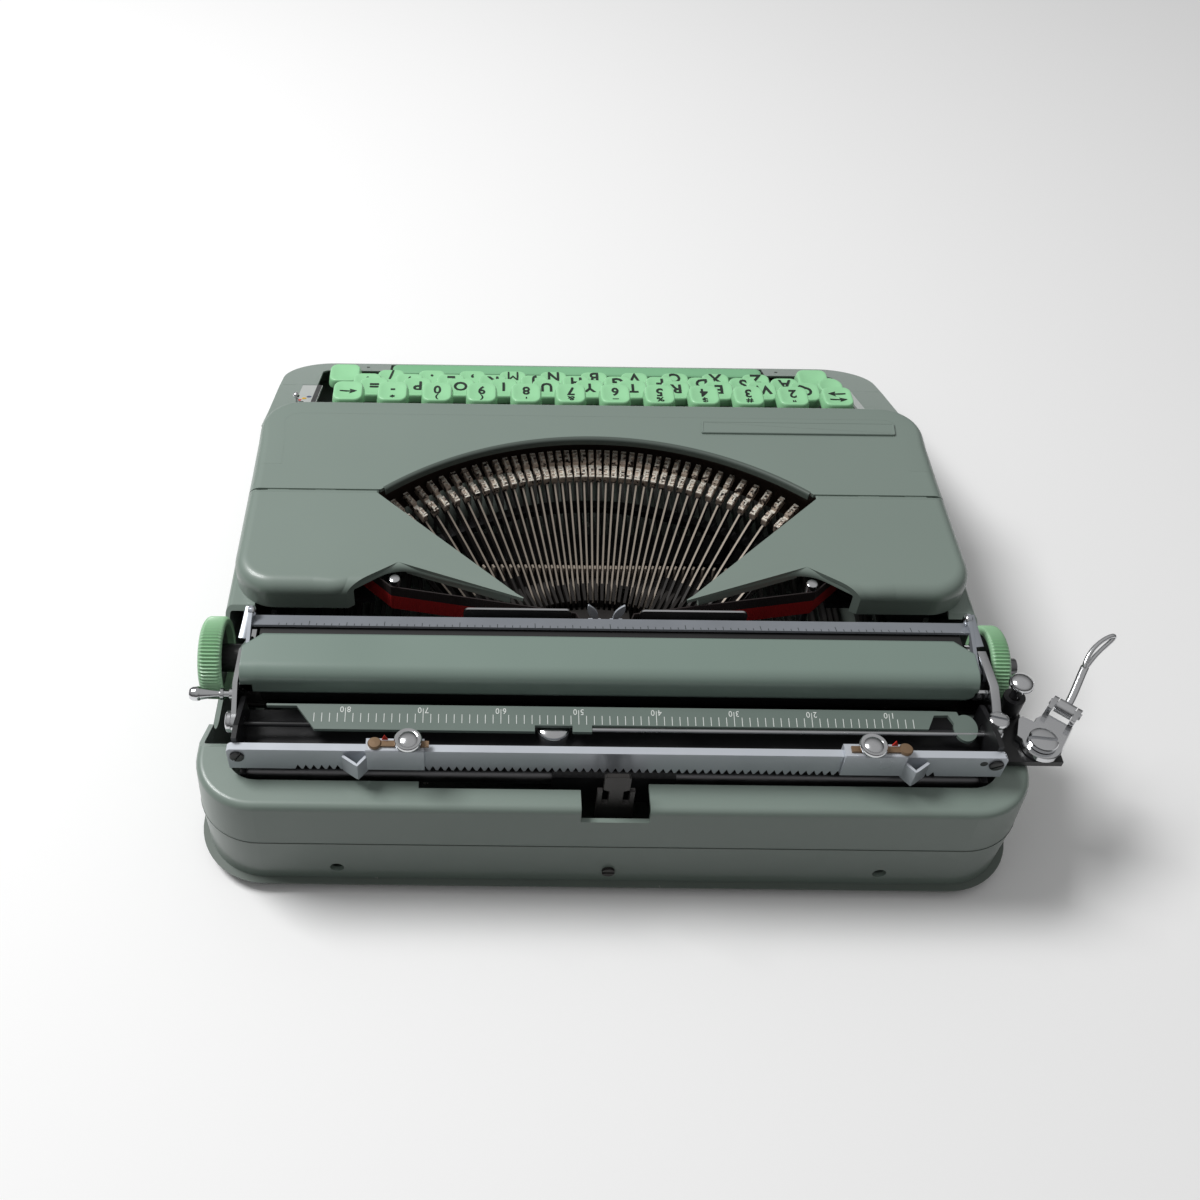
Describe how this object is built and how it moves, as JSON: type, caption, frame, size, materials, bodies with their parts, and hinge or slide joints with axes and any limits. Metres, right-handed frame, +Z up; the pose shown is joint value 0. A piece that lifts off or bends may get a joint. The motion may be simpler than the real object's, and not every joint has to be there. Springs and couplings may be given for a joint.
{
  "type": "manual typewriter",
  "caption": "Flat portable manual typewriter in a grey-green case with a fan of typebars under hinged spool covers, pale green keys, a sliding platen carriage and a return lever.",
  "frame": {"origin": "middle of the overall outline, return lever included, on the table under the feet", "axes": "+X to the typist's right, +Y to the rear, +Z up"},
  "size_m": [0.3133, 0.276, 0.0694],
  "materials": {
    "case_paint": "satin",
    "pan_paint": "satin",
    "foot_rubber": "matte",
    "key_plastic": "gloss",
    "knob_plastic": "gloss",
    "bright_steel": "polished",
    "plain_steel": "satin",
    "black_enamel": "satin",
    "platen_rubber": "matte",
    "ribbon_cloth": "matte",
    "deck_metal": "satin",
    "scale_paint": "satin"
  },
  "bodies": {
    "machine": {"base_pan": "pan_paint", "rubber_feet": "foot_rubber", "lower_case": "case_paint", "case_screws": "plain_steel", "front_hood": "case_paint", "cover_hinge_pins": "plain_steel", "chassis_frame": "black_enamel", "carriage_rails": "plain_steel", "key_lever_shaft": "plain_steel", "type_segment": "plain_steel", "typebars": "plain_steel", "typebar_rest": "black_enamel", "card_holder": "bright_steel", "ribbon_posts": "bright_steel", "ribbon": "ribbon_cloth", "bell": "bright_steel", "side_decks": "deck_metal", "margin_bracket": "black_enamel"},
    "left_cover": {"left_spool_cover": "case_paint"},
    "right_cover": {"right_spool_cover": "case_paint"},
    "left_spool": {"left_ribbon_spool": "black_enamel"},
    "right_spool": {"right_ribbon_spool": "black_enamel"},
    "vibrator": {"ribbon_vibrator": "bright_steel"},
    "selector": {"colour_selector_lever": "bright_steel"},
    "number_row": {"number_keys": "key_plastic", "number_levers": "plain_steel"},
    "upper_row": {"upper_keys": "key_plastic", "upper_levers": "plain_steel"},
    "home_row": {"home_keys": "key_plastic", "home_levers": "plain_steel"},
    "lower_row": {"lower_keys": "key_plastic", "lower_levers": "plain_steel"},
    "strike": {"strike_key": "key_plastic"},
    "space": {"space_bar": "key_plastic"},
    "shift": {"shift_keys": "key_plastic"},
    "shift_lock": {"shift_lock_key": "key_plastic"},
    "backspace": {"backspace_key": "key_plastic"},
    "margin_release": {"margin_release_key": "key_plastic"},
    "typebar": {"centre_typebar": "plain_steel"},
    "drum": {"mainspring_drum": "plain_steel"},
    "carriage": {"carriage_frame": "black_enamel", "end_plates": "bright_steel", "margin_rack": "bright_steel", "carriage_screws": "plain_steel", "margin_scale": "scale_paint"},
    "left_stop": {"left_margin_stop": "bright_steel"},
    "right_stop": {"right_margin_stop": "bright_steel"},
    "rocker": {"shift_arms": "bright_steel", "paper_table": "case_paint", "paper_pan": "plain_steel", "feed_rollers": "foot_rubber"},
    "platen_roll": {"platen": "platen_rubber", "platen_shaft": "plain_steel", "platen_knobs": "knob_plastic", "ratchet_wheel": "plain_steel"},
    "bail": {"paper_bail": "bright_steel"},
    "lever_plate": {"return_lever_plate": "bright_steel"},
    "lever_arm": {"return_lever_arm": "bright_steel"},
    "paper_release": {"paper_release_lever": "bright_steel"},
    "release_button": {"carriage_release_button": "bright_steel"}
  },
  "joints": [
    {"name": "left_cover_hinge", "type": "hinge", "parent": "machine", "child": "left_cover", "pos_m": [-0.09377, 0.0007, 0.057], "axis": [1, 0, 0], "range_deg": [0, 80]},
    {"name": "right_cover_hinge", "type": "hinge", "parent": "machine", "child": "right_cover", "pos_m": [0.12423, 0.0007, 0.057], "axis": [1, 0, 0], "range_deg": [0, 80]},
    {"name": "left_spool_spin", "type": "hinge", "parent": "machine", "child": "left_spool", "pos_m": [-0.08577, 0.024, 0.041], "axis": [0, 0, 1], "continuous": true},
    {"name": "right_spool_spin", "type": "hinge", "parent": "machine", "child": "right_spool", "pos_m": [0.11623, 0.024, 0.041], "axis": [0, 0, 1], "continuous": true},
    {"name": "vibrator_lift", "type": "slide", "parent": "machine", "child": "vibrator", "axis": [0, 0, 1], "range_m": [0, 0.006]},
    {"name": "selector_tilt", "type": "hinge", "parent": "machine", "child": "selector", "pos_m": [0.14043, -0.075, 0.018], "axis": [1, 0, 0], "range_deg": [-12, 12]},
    {"name": "number_row_press", "type": "hinge", "parent": "machine", "child": "number_row", "pos_m": [0.01523, 0.045, 0.009], "axis": [1, 0, 0], "range_deg": [0, 2.2], "stiffness_Nm_per_rad": 1.2, "springref_deg": -6.88},
    {"name": "upper_row_press", "type": "hinge", "parent": "machine", "child": "upper_row", "pos_m": [0.01523, 0.045, 0.009], "axis": [1, 0, 0], "range_deg": [0, 2.2], "stiffness_Nm_per_rad": 1.2, "springref_deg": -6.88},
    {"name": "home_row_press", "type": "hinge", "parent": "machine", "child": "home_row", "pos_m": [0.01523, 0.045, 0.009], "axis": [1, 0, 0], "range_deg": [0, 2.2], "stiffness_Nm_per_rad": 1.2, "springref_deg": -6.88},
    {"name": "lower_row_press", "type": "hinge", "parent": "machine", "child": "lower_row", "pos_m": [0.01523, 0.045, 0.009], "axis": [1, 0, 0], "range_deg": [0, 2.2], "stiffness_Nm_per_rad": 1.2, "springref_deg": -6.88},
    {"name": "space_press", "type": "hinge", "parent": "machine", "child": "space", "pos_m": [0.01523, 0.045, 0.009], "axis": [1, 0, 0], "range_deg": [0, 2], "stiffness_Nm_per_rad": 0.3, "springref_deg": -6.88},
    {"name": "shift_lock_press", "type": "hinge", "parent": "machine", "child": "shift_lock", "pos_m": [0.01523, 0.045, 0.009], "axis": [1, 0, 0], "range_deg": [0, 2.2], "stiffness_Nm_per_rad": 0.06, "springref_deg": -6.88},
    {"name": "backspace_press", "type": "hinge", "parent": "machine", "child": "backspace", "pos_m": [0.01523, 0.045, 0.009], "axis": [1, 0, 0], "range_deg": [0, 2.2], "stiffness_Nm_per_rad": 0.06, "springref_deg": -6.88},
    {"name": "margin_release_press", "type": "hinge", "parent": "machine", "child": "margin_release", "pos_m": [0.01523, 0.045, 0.009], "axis": [1, 0, 0], "range_deg": [0, 2.2], "stiffness_Nm_per_rad": 0.06, "springref_deg": -6.88},
    {"name": "typebar_swing", "type": "hinge", "parent": "machine", "child": "typebar", "pos_m": [0.01523, 0.019, 0.017], "axis": [-1, 0, 0], "range_deg": [0, 105], "stiffness_Nm_per_rad": 0.001, "springref_deg": -85.94},
    {"name": "strike_press", "type": "hinge", "parent": "machine", "child": "strike", "pos_m": [0.01523, 0.045, 0.009], "axis": [1, 0, 0], "range_deg": [0, 2.2]},
    {"name": "carriage_travel", "type": "slide", "parent": "machine", "child": "carriage", "axis": [1, 0, 0], "range_m": [-0.095, 0.095]},
    {"name": "drum_turn", "type": "hinge", "parent": "machine", "child": "drum", "pos_m": [-0.06977, 0.085, 0.008], "axis": [0, 0, 1], "range_deg": [-275, 275]},
    {"name": "left_stop_slide", "type": "slide", "parent": "carriage", "child": "left_stop", "axis": [1, 0, 0], "range_m": [-0.012, 0.045]},
    {"name": "right_stop_slide", "type": "slide", "parent": "carriage", "child": "right_stop", "axis": [1, 0, 0], "range_m": [-0.045, 0.024]},
    {"name": "case_shift", "type": "hinge", "parent": "carriage", "child": "rocker", "pos_m": [0.01523, 0.107, 0.054], "axis": [-1, 0, 0], "range_deg": [0, 10.8]},
    {"name": "shift_press", "type": "hinge", "parent": "machine", "child": "shift", "pos_m": [0.01523, 0.045, 0.009], "axis": [1, 0, 0], "range_deg": [0, 2.2]},
    {"name": "platen_turn", "type": "hinge", "parent": "rocker", "child": "platen_roll", "pos_m": [0.01523, 0.077, 0.05], "axis": [1, 0, 0], "continuous": true},
    {"name": "bail_lift", "type": "hinge", "parent": "rocker", "child": "bail", "pos_m": [0.01523, 0.088, 0.06], "axis": [-1, 0, 0], "range_deg": [0, 22]},
    {"name": "paper_release_pull", "type": "hinge", "parent": "rocker", "child": "paper_release", "pos_m": [0.14083, 0.09, 0.046], "axis": [-1, 0, 0], "range_deg": [0, 20]},
    {"name": "return_lever_swing", "type": "hinge", "parent": "carriage", "child": "lever_plate", "pos_m": [-0.12477, 0.11, 0.0497], "axis": [0, 0, 1], "range_deg": [0, 20], "stiffness_Nm_per_rad": 0.05, "springref_deg": -11.46},
    {"name": "return_lever_fold", "type": "hinge", "parent": "lever_plate", "child": "lever_arm", "pos_m": [-0.13559, 0.09755, 0.0535], "axis": [0.7547, -0.6561, 0], "range_deg": [0, 22]},
    {"name": "release_button_press", "type": "slide", "parent": "carriage", "child": "release_button", "axis": [0, 0, -1], "range_m": [0, 0.003], "stiffness_N_per_m": 100, "springref_m": -0.002}
  ],
  "couplings": [
    {"joint": "strike_press", "follows": "typebar_swing", "ratio": 0.020931},
    {"joint": "shift_press", "follows": "case_shift", "ratio": 0.2035},
    {"joint": "drum_turn", "follows": "carriage_travel", "rad_per_m": 50}
  ]
}
